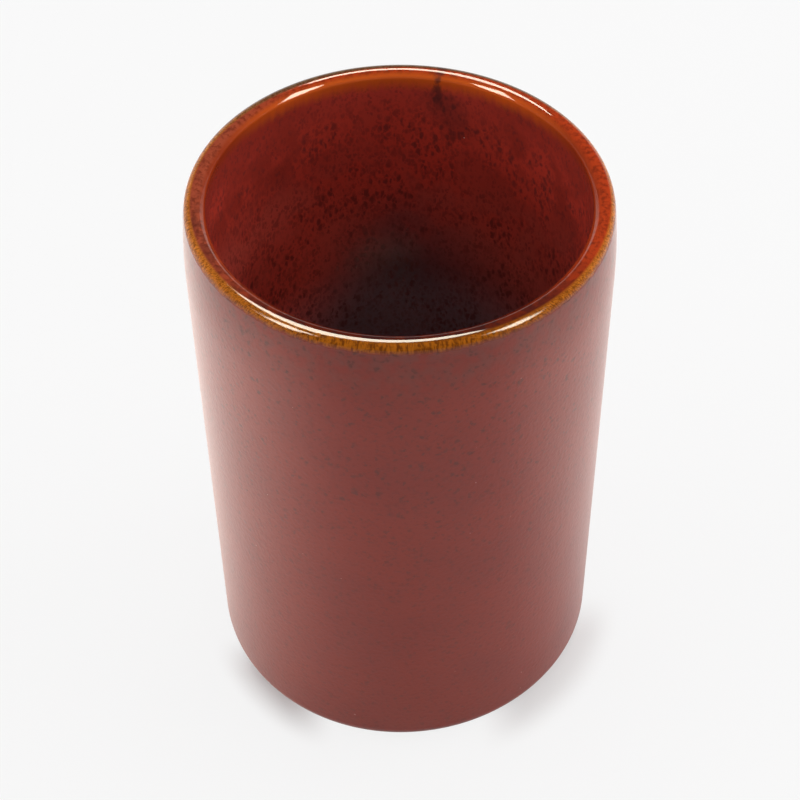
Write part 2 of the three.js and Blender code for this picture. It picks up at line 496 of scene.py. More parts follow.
# %% [markdown]
# ## Specks
# Iron in the clay leaves dark specks in a glaze, burst bubbles leave pale pinholes, and grog makes bare
# clay gritty. All three are scattered dots of uneven size. Voronoi cells scatter them: each cell holds one
# dot, sized by the cell's own random colour, and a second random number leaves some cells empty. A wobble
# bends the space that the cells lie in, so that dots needn't be round. Sizes are in millimetres.

# %% Group: scattered specks
BEND_SCALE = 1.4
FULL_SHARE = 0.35

SPECKS, specks_in, specks_out = new_group(
    "Specks",
    [
        ("Vector", VECTOR), ("Spacing", NUMBER), ("Smallest", NUMBER), ("Largest", NUMBER),
        ("Share", NUMBER), ("Wobble", NUMBER),
    ],
    [("Mask", NUMBER)],
)
straight = specks_in.outputs["Vector"]
bend = put(SPECKS, "ShaderNodeTexNoise", {"Vector": straight, "Scale": BEND_SCALE}).outputs["Color"]
bent = vector_calc(SPECKS, "ADD", straight, scaled(SPECKS, bend, specks_in.outputs["Wobble"]))
per_mm = calc(SPECKS, "DIVIDE", 1.0, specks_in.outputs["Spacing"])
cells = put(SPECKS, "ShaderNodeTexVoronoi", {"Vector": bent, "Scale": per_mm})
chance = put(SPECKS, "ShaderNodeSeparateColor", {0: cells.outputs["Color"]}).outputs
speck_size = number_mix(SPECKS, chance["Red"], specks_in.outputs["Smallest"], specks_in.outputs["Largest"])
from_middle = calc(SPECKS, "MULTIPLY", cells.outputs["Distance"], specks_in.outputs["Spacing"])
dot = ramp(SPECKS, from_middle, speck_size, calc(SPECKS, "MULTIPLY", speck_size, FULL_SHARE))
kept = calc(SPECKS, "LESS_THAN", chance["Green"], specks_in.outputs["Share"])
SPECKS.links.new(calc(SPECKS, "MULTIPLY", dot, kept), specks_out.inputs["Mask"])
print("Group:", SPECKS.name)

# %% [markdown]
# ## Satin red-brown
# The outside glaze is opaque and satin: slow clouds of a warmer and a deeper brown, a fine grain that
# catches the light like orange peel, small dark specks, and a few pale pinholes. It is smoky just under
# the rim, where it was thinner in the kiln. The lip needs the same finish where the amber ends, so it is a
# group.

# %% Group: satin red-brown
WARM_BROWN = (0.232, 0.015, 0.002, 1)
DEEP_BROWN = (0.212, 0.013, 0.002, 1)
GRAIN_BROWN = (0.15, 0.008, 0.002, 1)
SMOKE_BROWN = (0.1, 0.05, 0.04, 1)
SPECK_BROWN = (0.085, 0.011, 0.004, 1)
PINHOLE_PALE = (0.45, 0.2, 0.16, 1)
PINHOLE_SHARE = 0.6
CLOUD_SCALE = 0.09
PATCH_SCALE = 0.6
GRAIN_SCALE = 1.7
GRAIN_EDGES = (0.5, 0.75)
GRAIN_SHARE = 0.5
SMOKE_DEPTHS = (11.0, 2.0)
SMOKE_SHARES = (0.08, 0.36)
SPECK_DEPTHS = (55.0, 8.0)
SPECK_DEPTH_SHARES = (0.5, 1.0)
SPECK_PATCHES = (0.35, 0.62)
SPECK_PATCH_SHARES = (0.15, 0.8)
SATIN_ROUGHNESS = (0.275, 0.3)

SATIN, satin_in, satin_out = new_group(
    "Satin red-brown", [], [("Color", COLOUR), ("Roughness", NUMBER), ("Height", NUMBER)],
)
place = use(SATIN, PLACE)
clouds = noise(SATIN, place["Point"], CLOUD_SCALE)
patches = noise(SATIN, place["Point"], PATCH_SCALE, detail=4.0)
grain = noise(SATIN, place["Point"], GRAIN_SCALE, detail=3.0)
specks = use(SATIN, SPECKS, {
    "Vector": place["Point"], "Spacing": 0.75, "Smallest": 0.12, "Largest": 0.5, "Share": 0.75, "Wobble": 1.3,
})["Mask"]
pinholes = use(SATIN, SPECKS, {
    "Vector": place["Point"], "Spacing": 2.4, "Smallest": 0.0, "Largest": 0.2, "Share": 0.25,
})["Mask"]
brown = mix(SATIN, ramp(SATIN, clouds, *CLOUD_EDGES), DEEP_BROWN, WARM_BROWN)
brown = mix(SATIN, ramp(SATIN, grain, *GRAIN_EDGES, 0.0, GRAIN_SHARE), brown, GRAIN_BROWN)
patchy_smoke = ramp(SATIN, patches, *CLOUD_EDGES, *SMOKE_SHARES)
near_rim = calc(SATIN, "MULTIPLY", ramp(SATIN, place["Depth"], *SMOKE_DEPTHS), patchy_smoke)
high_up = ramp(SATIN, place["Depth"], *SPECK_DEPTHS, *SPECK_DEPTH_SHARES)
patchy_specks = ramp(SATIN, patches, *SPECK_PATCHES, *SPECK_PATCH_SHARES)
patchy_specks = calc(SATIN, "MULTIPLY", high_up, patchy_specks)
dark_specks = calc(SATIN, "MULTIPLY", specks, patchy_specks)
brown = mix(SATIN, near_rim, brown, SMOKE_BROWN)
brown = mix(SATIN, dark_specks, brown, SPECK_BROWN)
brown = mix(SATIN, calc(SATIN, "MULTIPLY", pinholes, PINHOLE_SHARE), brown, PINHOLE_PALE)
peel = calc(SATIN, "SUBTRACT", grain, pinholes)
SATIN.links.new(brown, satin_out.inputs["Color"])
SATIN.links.new(ramp(SATIN, grain, *CLOUD_SPAN, *SATIN_ROUGHNESS), satin_out.inputs["Roughness"])
SATIN.links.new(peel, satin_out.inputs["Height"])
print("Group:", SATIN.name)

# %% [markdown]
# ## One dark run
# Before it set, a little dark glaze ran down from the crest at the back and trailed off in a slanting
# stain with spots. The run crosses the amber as well as the red, so it is a group of its own. It is
# measured along the rim from its middle, and noise makes its sides uneven.

# %% Group: the dark run
RUN_ANGLE = math.radians(77)
RUN_TOP_WIDTH = 0.57
RUN_LOW_WIDTH = 1.235
RUN_WIDENS = (1.0, 5.0)
RUN_FADES = (9.0, 3.5)
RUN_EDGES = (1.4, 0.1)
RUN_UNEVEN = 0.4
UNEVEN_SCALE = 0.9
TRAIL_START = 3.0
TRAIL_END = 12.0
TRAIL_SLANT = 0.5
TRAIL_EDGES = (4.8, 0.4)

RUN, run_in, run_out = new_group("Dark run", [], [("Run", NUMBER), ("Trail", NUMBER)])
place = use(RUN, PLACE)
run_middle = Vector((math.cos(RUN_ANGLE), math.sin(RUN_ANGLE), 0)) * RIM_RADIUS / MM
run_along = Vector((-math.sin(RUN_ANGLE), math.cos(RUN_ANGLE), 0))
from_run = vector_calc(RUN, "SUBTRACT", place["Around"], run_middle)
run_side = vector_measure(RUN, "DOT_PRODUCT", from_run, run_along)
run_away = vector_measure(RUN, "LENGTH", from_run)
uneven = noise(RUN, place["Point"], UNEVEN_SCALE, detail=3.0)
uneven = ramp(RUN, uneven, *CLOUD_SPAN, -RUN_UNEVEN, RUN_UNEVEN)
run_width = ramp(RUN, place["Depth"], *RUN_WIDENS, RUN_TOP_WIDTH, RUN_LOW_WIDTH)
run_share = calc(RUN, "DIVIDE", calc(RUN, "ADD", run_away, uneven), run_width)
run_fade = ramp(RUN, place["Depth"], *RUN_FADES)
run_mask = calc(RUN, "MULTIPLY", ramp(RUN, run_share, *RUN_EDGES), run_fade)
slant = calc(RUN, "MULTIPLY", calc(RUN, "SUBTRACT", place["Depth"], TRAIL_START), TRAIL_SLANT)
trail_away = calc(RUN, "ABSOLUTE", calc(RUN, "ADD", run_side, slant))
trail_begins = ramp(RUN, place["Depth"], TRAIL_START - 1.0, TRAIL_START + 1.0)
trail_ends = ramp(RUN, place["Depth"], TRAIL_END, TRAIL_END - 4.0)
trail_reach = calc(RUN, "MULTIPLY", trail_begins, trail_ends)
trail_mask = ramp(RUN, calc(RUN, "ADD", trail_away, uneven), *TRAIL_EDGES)
trail_mask = calc(RUN, "MULTIPLY", trail_mask, trail_reach)
RUN.links.new(run_mask, run_out.inputs["Run"])
RUN.links.new(trail_mask, run_out.inputs["Trail"])
print("Group:", RUN.name)

# %% [markdown]
# ## Gloss dark red
# Inside, the glaze is thick and glassy. It is a bright dark red high on the wall, with painted shade on both
# sides, and goes almost black further down, partly the glaze and partly painted shade, soonest at the back
# and a little sooner on the right, under a faint painted grey haze. Low on the left a painted light keeps it
# bright, and where it pools on the floor it is a deep red-brown. Iron has come up: fine flecks everywhere,
# and clusters of bigger spots with a brighter red web between them. Glaze flows downwards, so the spots are
# drawn out along the wall. Pale dots here and there are painted glints.

# %% Group: gloss dark red
HIGH_RED = (0.53, 0.056, 0.036, 1)
# Painted shade: a darker copy of the high red for the side walls high up.
SHADED_SIDE_RED = (0.33, 0.034, 0.022, 1)
DEEP_RED = (0.5, 0.1, 0.075, 1)
# Painted light: a brighter red for the low wall on the left.
LIT_LEFT_RED = (0.72, 0.1, 0.068, 1)
# Almost black deep down: partly the glaze, partly painted shade.
LOW_RED_AND_SHADE = (0.085, 0.045, 0.056, 1)
# A painted grey haze that lifts the deepest wall.
PAINTED_GREY_HAZE = (0.11, 0.1, 0.11, 1)
POOL_RED = (0.09, 0.026, 0.022, 1)
WEB_RED = (0.62, 0.056, 0.033, 1)
FLECK_BROWN = (0.12, 0.026, 0.024, 1)
RUN_BROWN = (0.06, 0.022, 0.022, 1)
# Painted glints on small pale dots.
PAINTED_GLINT_PALE = (0.8, 0.6, 0.5, 1)
FLOW = (1, 1, 0.6)
# Painted shade begins higher on the right and lower on the sides.
SHADE_HIGHER_RIGHT = 0.3
SHADE_LOWER_SIDES = -1.12
HIGH_WALL = (28.0, 11.0)
LOW_WALL = (12.0, 24.0)
SIDE_SHADE_SPREAD = (5.0, 17.0)
LEFT_LIGHT_SPREAD = (-4.0, -16.0)
WALL_DEEPENS = (12.0, 34.0)
WALL_DARKENS_AND_SHADES = (13.0, 37.5)
PAINTED_HAZE_DEPTHS = (33.0, 43.0)
POOL_STARTS = (53.0, 66.0)
CLUSTER_SCALE = 0.14
CLUSTER_EDGES = (0.4, 0.57)
CLUSTERS_START = (3.0, 9.0)
WEB_FADES = (36.0, 12.0)
WEB_SHARE = 0.6
FLECK_CLOUD_SCALE = 0.7
FLECK_SHARES = (0.15, 0.5)
SPOT_SHARE = 0.72
TRAIL_SHARE = 0.55
STAIN_SHARE = 0.75
GLINTS_FADE = (28.0, 16.0)
GLINT_SHARE = 0.6
GLOSS_DULLS = (10.0, 60.0)
GLOSS_ROUGHNESS = (0.09, 0.26)

GLOSS, gloss_in, gloss_out = new_group(
    "Gloss dark red", [], [("Color", COLOUR), ("Roughness", NUMBER), ("Height", NUMBER)],
)
place = use(GLOSS, PLACE)
drawn_out = vector_calc(GLOSS, "MULTIPLY", place["Point"], FLOW)
running = use(GLOSS, RUN)
rightwards = put(GLOSS, "ShaderNodeSeparateXYZ", {0: place["Point"]}).outputs["X"]
# Depth at which the painted shade begins, moved up on the right and down on the sides.
shade_depth = calc(GLOSS, "ADD", place["Depth"], calc(GLOSS, "MULTIPLY", rightwards, SHADE_HIGHER_RIGHT))
to_side = calc(GLOSS, "ABSOLUTE", rightwards)
shade_depth = calc(GLOSS, "ADD", shade_depth, calc(GLOSS, "MULTIPLY", to_side, SHADE_LOWER_SIDES))
high_wall = ramp(GLOSS, place["Depth"], *HIGH_WALL)
# Painted shade on the side walls high up.
shaded_high_sides = calc(GLOSS, "MULTIPLY", ramp(GLOSS, to_side, *SIDE_SHADE_SPREAD), high_wall)
low_wall = ramp(GLOSS, place["Depth"], *LOW_WALL)
# Painted light on the low wall at the left.
lit_low_left = calc(GLOSS, "MULTIPLY", ramp(GLOSS, rightwards, *LEFT_LIGHT_SPREAD), low_wall)
red = mix(GLOSS, shaded_high_sides, HIGH_RED, SHADED_SIDE_RED)
red = mix(GLOSS, ramp(GLOSS, place["Depth"], *WALL_DEEPENS), red, DEEP_RED)
red = mix(GLOSS, lit_low_left, red, LIT_LEFT_RED)
red = mix(GLOSS, ramp(GLOSS, shade_depth, *WALL_DARKENS_AND_SHADES), red, LOW_RED_AND_SHADE)
# Painted grey haze over the deepest wall.
red = mix(GLOSS, ramp(GLOSS, place["Depth"], *PAINTED_HAZE_DEPTHS), red, PAINTED_GREY_HAZE, "ADD")
red = mix(GLOSS, ramp(GLOSS, place["Depth"], *POOL_STARTS), red, POOL_RED)
clusters = ramp(GLOSS, noise(GLOSS, place["Point"], CLUSTER_SCALE, detail=3.0), *CLUSTER_EDGES)
clusters = calc(GLOSS, "MULTIPLY", clusters, ramp(GLOSS, place["Depth"], *CLUSTERS_START))
web = calc(GLOSS, "MULTIPLY", clusters, ramp(GLOSS, place["Depth"], *WEB_FADES, 0.0, WEB_SHARE))
red = mix(GLOSS, web, red, WEB_RED)
flecks = use(GLOSS, SPECKS, {
    "Vector": drawn_out, "Spacing": 0.42, "Smallest": 0.12, "Largest": 0.48, "Share": 0.8, "Wobble": 0.6,
})["Mask"]
spots = use(GLOSS, SPECKS, {
    "Vector": drawn_out, "Spacing": 0.8, "Smallest": 0.28, "Largest": 0.6, "Share": 0.9, "Wobble": 0.9,
})["Mask"]
fleck_clouds = noise(GLOSS, drawn_out, FLECK_CLOUD_SCALE, detail=3.0)
fleck_clouds = ramp(GLOSS, fleck_clouds, *CLOUD_EDGES, *FLECK_SHARES)
flecks = calc(GLOSS, "MULTIPLY", flecks, fleck_clouds)
spots = calc(GLOSS, "MULTIPLY", spots, calc(GLOSS, "MAXIMUM", clusters, running["Trail"]))
dark = calc(GLOSS, "MAXIMUM", flecks, calc(GLOSS, "MULTIPLY", spots, SPOT_SHARE))
red = mix(GLOSS, dark, red, FLECK_BROWN)
stain = calc(GLOSS, "MAXIMUM", running["Run"], calc(GLOSS, "MULTIPLY", running["Trail"], TRAIL_SHARE))
red = mix(GLOSS, calc(GLOSS, "MULTIPLY", stain, STAIN_SHARE), red, RUN_BROWN)
# Painted glints: pale dots near the top of the well.
glint_dots = use(GLOSS, SPECKS, {
    "Vector": place["Point"], "Spacing": 3.2, "Smallest": 0.06, "Largest": 0.16, "Share": 0.4,
})["Mask"]
painted_glints = ramp(GLOSS, place["Depth"], *GLINTS_FADE, 0.0, GLINT_SHARE)
painted_glints = calc(GLOSS, "MULTIPLY", glint_dots, painted_glints)
red = mix(GLOSS, painted_glints, red, PAINTED_GLINT_PALE)
GLOSS.links.new(red, gloss_out.inputs["Color"])
dulled = ramp(GLOSS, place["Depth"], *GLOSS_DULLS, *GLOSS_ROUGHNESS)
GLOSS.links.new(dulled, gloss_out.inputs["Roughness"])
GLOSS.links.new(calc(GLOSS, "MULTIPLY", spots, -1.0), gloss_out.inputs["Height"])
print("Group:", GLOSS.name)

# %% [markdown]
# ## The amber break
# Where this glaze runs off an edge it goes thin, and thin it turns amber: ochre with dark streaks on the
# outer side, orange-red on the crest, and just inside a darker red that turns to amber at the back. The
# ochre is duller at the front, almost brown at the back, and reaches further up the lip there and on the
# left. At the front the crest stayed thicker and is a dusky red, on the left it is a muddy one, and both
# have dark blotches. The break ends at a depth below the crest, and noise round the rim lets that edge
# waver. All three coats use it, so that the amber may cross from one to the next.

# %% Group: amber break over another glaze
OCHRE = (0.64, 0.195, 0.024, 1)
DULL_OCHRE = (0.44, 0.125, 0.006, 1)
BACK_BROWN = (0.16, 0.085, 0.04, 1)
STREAK_BROWN = (0.1, 0.018, 0.001, 1)
ORANGE_RED = (0.47, 0.047, 0.009, 1)
DUSKY_RED = (0.1, 0.012, 0.004, 1)
MUDDY_RED = (0.34, 0.07, 0.034, 1)
BLOTCH_PURPLE = (0.035, 0.009, 0.01, 1)
SLOPE_RED = (0.3, 0.035, 0.008, 1)
BAND_AMBER = (0.66, 0.108, 0.013, 1)
CREST_RADIUS = flow_centre.x / MM
OUTER_SIDE = (CREST_RADIUS + 0.35, CREST_RADIUS + 0.8)
INNER_SIDE = (CREST_RADIUS - 0.1, CREST_RADIUS - 0.5)
BAND_DEPTHS = (0.05, 0.6)
FRONT = (-8.0, -26.0)
BACK = (8.0, 22.0)
LEFT = (-10.0, -22.0)
LEFT_SHARE = 0.8
FRONT_REACH = (-4.0, -24.0, 0.0, 0.15)
BACK_REACH = (4.0, 24.0, 0.0, 0.65)
SIDE_REACH = (-24.0, 20.0, 0.2, -0.25)
WANDER_SCALE = 0.8
STREAK_SCALE = 2.3
STREAK_EDGES = (0.44, 0.58)
STREAK_BREAKS = (0.9, 0.4)
STREAK_SHARES = (0.78, 0.8)
MOTTLE_SCALE = 1.4
MOTTLE_EDGES = (0.42, 0.66)
MOTTLE_SHARE = 0.6
BLOTCH_SCALE = 0.45
BLOTCH_EDGES = (0.44, 0.56)
BLOTCH_SHARE = 0.7
BLOTCHY_LEFT = (8.0, -6.0, 0.05, 0.6)
RUN_SHARE = 0.7

AMBER, amber_in, amber_out = new_group(
    "Amber break",
    [("Edge", NUMBER), ("Softness", NUMBER), ("Waver", NUMBER)],
    [("Color", COLOUR), ("Mask", NUMBER), ("Streaks", NUMBER)],
)
place = use(AMBER, PLACE)
sides_of_cup = put(AMBER, "ShaderNodeSeparateXYZ", {0: place["Point"]}).outputs
wander = noise(AMBER, place["Around"], WANDER_SCALE, detail=3.0)
wander = ramp(AMBER, wander, *CLOUD_SPAN, -1.0, 1.0)
depth = calc(AMBER, "ADD", place["Depth"], calc(AMBER, "MULTIPLY", wander, amber_in.outputs["Waver"]))
edge_start = calc(AMBER, "SUBTRACT", amber_in.outputs["Edge"], amber_in.outputs["Softness"])
edge_end = calc(AMBER, "ADD", amber_in.outputs["Edge"], amber_in.outputs["Softness"])
front_reach = ramp(AMBER, sides_of_cup["Y"], *FRONT_REACH)
back_reach = ramp(AMBER, sides_of_cup["Y"], *BACK_REACH)
side_reach = ramp(AMBER, sides_of_cup["X"], *SIDE_REACH)
reach_up = calc(AMBER, "ADD", place["Radius"], calc(AMBER, "ADD", front_reach, back_reach))
reach_up = calc(AMBER, "ADD", reach_up, side_reach)
outer = ramp(AMBER, reach_up, *OUTER_SIDE)
inner = ramp(AMBER, place["Radius"], *INNER_SIDE)
band = calc(AMBER, "MULTIPLY", inner, ramp(AMBER, place["Depth"], *BAND_DEPTHS))
front = ramp(AMBER, sides_of_cup["Y"], *FRONT)
back = ramp(AMBER, sides_of_cup["Y"], *BACK)
not_front = calc(AMBER, "SUBTRACT", 1.0, front)
left = calc(AMBER, "MULTIPLY", ramp(AMBER, sides_of_cup["X"], *LEFT), not_front)
blotchy_left = calc(AMBER, "MULTIPLY", left, ramp(AMBER, sides_of_cup["Y"], *BLOTCHY_LEFT))
blotchy = calc(AMBER, "MAXIMUM", front, blotchy_left)
streak_break = number_mix(AMBER, front, *STREAK_BREAKS)
broken = vector_calc(AMBER, "ADD", place["Around"], scaled(AMBER, place["Point"], streak_break))
streaks = noise(AMBER, broken, STREAK_SCALE, detail=4.0, roughness=0.75)
streaks = calc(AMBER, "MULTIPLY", ramp(AMBER, streaks, *STREAK_EDGES), outer)
mottle = noise(AMBER, place["Point"], MOTTLE_SCALE, detail=4.0, roughness=0.65)
mottle = ramp(AMBER, mottle, *MOTTLE_EDGES, 0.0, MOTTLE_SHARE)
blotches = noise(AMBER, place["Point"], BLOTCH_SCALE, detail=3.0, roughness=0.6)
blotches = calc(AMBER, "MULTIPLY", ramp(AMBER, blotches, *BLOTCH_EDGES), blotchy)
blotches = calc(AMBER, "MULTIPLY", blotches, calc(AMBER, "SUBTRACT", 1.0, outer))
amber = mix(AMBER, front, ORANGE_RED, DUSKY_RED)
amber = mix(AMBER, calc(AMBER, "MULTIPLY", left, LEFT_SHARE), amber, MUDDY_RED)
amber = mix(AMBER, mottle, amber, DUSKY_RED)
amber = mix(AMBER, calc(AMBER, "MULTIPLY", blotches, BLOTCH_SHARE), amber, BLOTCH_PURPLE)
ochre = mix(AMBER, back, mix(AMBER, front, OCHRE, DULL_OCHRE), BACK_BROWN)
amber = mix(AMBER, outer, amber, ochre)
band = calc(AMBER, "MULTIPLY", band, not_front)
amber = mix(AMBER, band, amber, mix(AMBER, back, SLOPE_RED, BAND_AMBER))
streak_weight = number_mix(AMBER, front, *STREAK_SHARES)
amber = mix(AMBER, calc(AMBER, "MULTIPLY", streaks, streak_weight), amber, STREAK_BROWN)
amber = mix(AMBER, calc(AMBER, "MULTIPLY", use(AMBER, RUN)["Run"], RUN_SHARE), amber, RUN_BROWN)
AMBER.links.new(amber, amber_out.inputs["Color"])
AMBER.links.new(ramp(AMBER, depth, edge_end, edge_start), amber_out.inputs["Mask"])
AMBER.links.new(streaks, amber_out.inputs["Streaks"])
print("Group:", AMBER.name)

# %% [markdown]
# ## Finishes of the coats
# Each coat is one Principled shader. The satin coat is rough enough to blur what it mirrors, and the lip
# and the inside are nearly clear. The amber break is laid over each glaze with its own depth: just the
# shoulder outside, and further down inside, where it fades slowly.

# %% A glaze material
OUTSIDE_BREAK = {"Edge": 0.95, "Softness": 0.36, "Waver": 0.12}
INSIDE_BREAK = {"Edge": 2.05, "Softness": 1.3, "Waver": 0.3}
AMBER_ROUGHNESS = 0.045
GLAZE_IOR = 1.45
SATIN_RELIEF = 0.03 * MM
GLOSS_RELIEF = 0.01 * MM
LIP_RELIEF = 0.0012 * MM
LIP_BLEND = (CREST_RADIUS - 0.3, CREST_RADIUS + 0.3)


def new_material(name):
    """A material with only its output, and the place where its shader goes."""
    material = bpy.data.materials.new(name)
    material.use_nodes = True
    tree = material.node_tree
    tree.nodes.clear()
    return material, tree, tree.nodes.new("ShaderNodeOutputMaterial")


def glaze_shader(tree, end, colour, roughness, height, bump_distance):
    """A glaze: its colour and gloss, with a fine relief."""
    bump = put(tree, "ShaderNodeBump", {"Height": height, "Distance": bump_distance, "Strength": 1.0})
    shader = put(tree, "ShaderNodeBsdfPrincipled", {
        "Base Color": colour, "Roughness": roughness, "Normal": bump.outputs[0], "IOR": GLAZE_IOR,
    })
    tree.links.new(shader.outputs[0], end.inputs["Surface"])


def glaze_with_break(name, group, break_values, bump_distance):
    """One glaze with the amber break laid over it."""
    material, tree, end = new_material(name)
    glaze = use(tree, group)
    amber_layer = use(tree, AMBER, break_values)
    colour = mix(tree, amber_layer["Mask"], glaze["Color"], amber_layer["Color"])
    roughness = number_mix(tree, amber_layer["Mask"], glaze["Roughness"], AMBER_ROUGHNESS)
    glaze_shader(tree, end, colour, roughness, glaze["Height"], bump_distance)
    print("Material:", name)
    return material


satin_finish = glaze_with_break("satin_red_brown", SATIN, OUTSIDE_BREAK, SATIN_RELIEF)
gloss_finish = glaze_with_break("gloss_dark_red", GLOSS, INSIDE_BREAK, GLOSS_RELIEF)

# %% The lip, between the two glazes
amber_finish, tree, end = new_material("amber_break")
place = use(tree, PLACE)
outer_side = ramp(tree, place["Radius"], *LIP_BLEND)
satin_layer = use(tree, SATIN)
gloss_layer = use(tree, GLOSS)
outer_break = use(tree, AMBER, OUTSIDE_BREAK)
inner_break = use(tree, AMBER, INSIDE_BREAK)
under = mix(tree, outer_side, gloss_layer["Color"], satin_layer["Color"])
under_roughness = number_mix(tree, outer_side, gloss_layer["Roughness"], satin_layer["Roughness"])
break_mask = number_mix(tree, outer_side, inner_break["Mask"], outer_break["Mask"])
lip_colour = mix(tree, break_mask, under, outer_break["Color"])
lip_roughness = number_mix(tree, break_mask, under_roughness, AMBER_ROUGHNESS)
glaze_shader(tree, end, lip_colour, lip_roughness, outer_break["Streaks"], LIP_RELIEF)
print("Material:", amber_finish.name)

# %% [markdown]
# ## Bare clay
# The wiped foot shows buff stoneware: matt, with grit of darker and paler grog, and fine rings from the
# turning tool. The rings follow the distance from the axis, so a wave on the radius draws them.

# %% Bare clay
BUFF = (0.42, 0.27, 0.15, 1)
BUFF_DARK = (0.3, 0.175, 0.09, 1)
GRIT_DARK = (0.12, 0.06, 0.035, 1)
GRIT_SHARE = 0.6
CLAY_CLOUD_SCALE = 0.25
CLAY_GRAIN_SCALE = 3.0
RING_WAVES = 9.0
RING_HEIGHT = 0.3
CLAY_ROUGHNESS = 0.85
CLAY_RELIEF = 0.04 * MM

clay_finish, tree, end = new_material("bare_clay")
place = use(tree, PLACE)
clay_clouds = noise(tree, place["Point"], CLAY_CLOUD_SCALE, detail=4.0)
grit = use(tree, SPECKS, {
    "Vector": place["Point"], "Spacing": 1.1, "Smallest": 0.0, "Largest": 0.35, "Share": 0.4,
})["Mask"]
rings = calc(tree, "SINE", calc(tree, "MULTIPLY", place["Radius"], RING_WAVES))
clay_colour = mix(tree, ramp(tree, clay_clouds, *CLOUD_EDGES), BUFF_DARK, BUFF)
clay_colour = mix(tree, calc(tree, "MULTIPLY", grit, GRIT_SHARE), clay_colour, GRIT_DARK)
clay_grain = noise(tree, place["Point"], CLAY_GRAIN_SCALE, detail=4.0)
clay_height = calc(tree, "ADD", calc(tree, "MULTIPLY", rings, RING_HEIGHT), clay_grain)
clay_bump = put(tree, "ShaderNodeBump", {"Height": clay_height, "Distance": CLAY_RELIEF, "Strength": 1.0})
clay_shader = put(tree, "ShaderNodeBsdfPrincipled", {
    "Base Color": clay_colour, "Roughness": CLAY_ROUGHNESS, "Normal": clay_bump.outputs[0],
})
tree.links.new(clay_shader.outputs[0], end.inputs["Surface"])
print("Material:", clay_finish.name)

# %% [markdown]
# ## Join the pieces to the cup
# Each piece takes its finish, rides on the cup's one body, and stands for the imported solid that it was
# turned from.

# %% Dress and join
PIECES = [
    (clay_cup, "stoneware_body", "stoneware", clay_finish),
    (satin_coat, "outside_glaze", "satin_glaze", satin_finish),
    (amber_lip, "rim_glaze", "amber_glaze", amber_finish),
    (gloss_well, "inside_glaze", "gloss_glaze", gloss_finish),
]
for piece, node_name, slot_name, finish in PIECES:
    piece.data.materials.append(finish)
    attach(piece, "root")
    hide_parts(node_name)
    print(piece.name, "stands for", node_name)

# %% [markdown]
# ## The studio sweep
# The cup stands on a pale table that curves up into a low wall, so that no edge shows from any side. Most
# of what the camera sees of it is a plain glow at white, and the rest is lit by the lamps, so that it
# keeps a faint shadow, strongest on both sides of the foot. The glaze mirrors the lit table, because a
# shadow in front of the foot shows in a real glaze. On top of that comes a painted reflection: a glow that
# only reflections see, brighter towards the back on both sides, most at the left, and on the wall straight
# behind. That glow is no lamp, so it isn't sampled as one. From below the table is clear, which leaves the
# foot open to view.

# %% The sweep
SWEEP_FLAT = 1.6
SWEEP_CURVE = 0.5
SWEEP_WALL = 0.1
SWEEP_GAP = 0.05 * MM
SWEEP_SIDES = 96
SWEEP_STEPS = 12
SWEEP_WELD = MM / 100
SWEEP_WHITE = (0.9, 0.9, 0.9, 1)
GLOW_WHITE = (0.955, 0.955, 0.955, 1)
GLOW_SHARE = 0.88
GLOW_SHARE_LEFT_OF_FOOT = 0.2
GLOW_SHARE_RIGHT_OF_FOOT = 0.4
GLOW_SHARE_MIRRORED = 0.05
FOOT_FRONT = (0.13, -1, 0)
FOOT_SHADE = (1.1 * MM, 0, 0)
SHADE_REACH = (32 * MM, 26.8 * MM)
SHADE_SIDES = (10 * MM, 18 * MM)
SHADE_FRONT = (4 * MM, 13 * MM)
FOOT_LEFT_TO_RIGHT = (-10 * MM, 10 * MM)
# Where the painted reflection lies, and how bright it is.
LEFT_BACK = (-1, 0.8, 0)
LEFT_GLOW_REACH = (-40 * MM, 80 * MM)
LEFT_HAZE = 1.2
RIGHT_BACK = (1, 0.8, 0)
RIGHT_GLOW_REACH = (0.0, 70 * MM)
RIGHT_HAZE = 0.58
HAZE_CREAM = (1.0, 0.88, 0.78, 1)
MIRRORED_GLOW_END = 160 * MM
MIRRORED_GLOW_FADE = 112 * MM
STRAIGHT_BACK = (0.7, 0.95)
WALL_START = 0.8
WALL_HAZE = 0.6

sweep_section = [
    Vector((0, 0)),
    *[at for at, out in round_stretch(Vector((SWEEP_FLAT, SWEEP_CURVE)), SWEEP_CURVE, DOWN, 0, SWEEP_STEPS)],
    Vector((SWEEP_FLAT + SWEEP_CURVE, SWEEP_CURVE + SWEEP_WALL)),
]
sweep_profile = bmesh.new()
profile_points = [sweep_profile.verts.new((point.x, 0, point.y - SWEEP_GAP)) for point in sweep_section]
profile_edges = [sweep_profile.edges.new(pair) for pair in zip(profile_points, profile_points[1:])]
bmesh.ops.spin(
    sweep_profile, geom=profile_points + profile_edges, axis=(0, 0, 1), cent=(0, 0, 0),
    steps=SWEEP_SIDES, angle=2 * math.pi,
)
bmesh.ops.remove_doubles(sweep_profile, verts=sweep_profile.verts, dist=SWEEP_WELD)
sweep_mesh = bpy.data.meshes.new("studio_sweep")
sweep_profile.to_mesh(sweep_mesh)
sweep_profile.free()
if sweep_mesh.polygons[0].normal.z < 0:
    sweep_mesh.flip_normals()
sweep_mesh.shade_smooth()
sweep = bpy.data.objects.new("studio_sweep", sweep_mesh)
bpy.context.scene.collection.objects.link(sweep)
print("Sweep of", len(sweep_mesh.polygons), "faces")

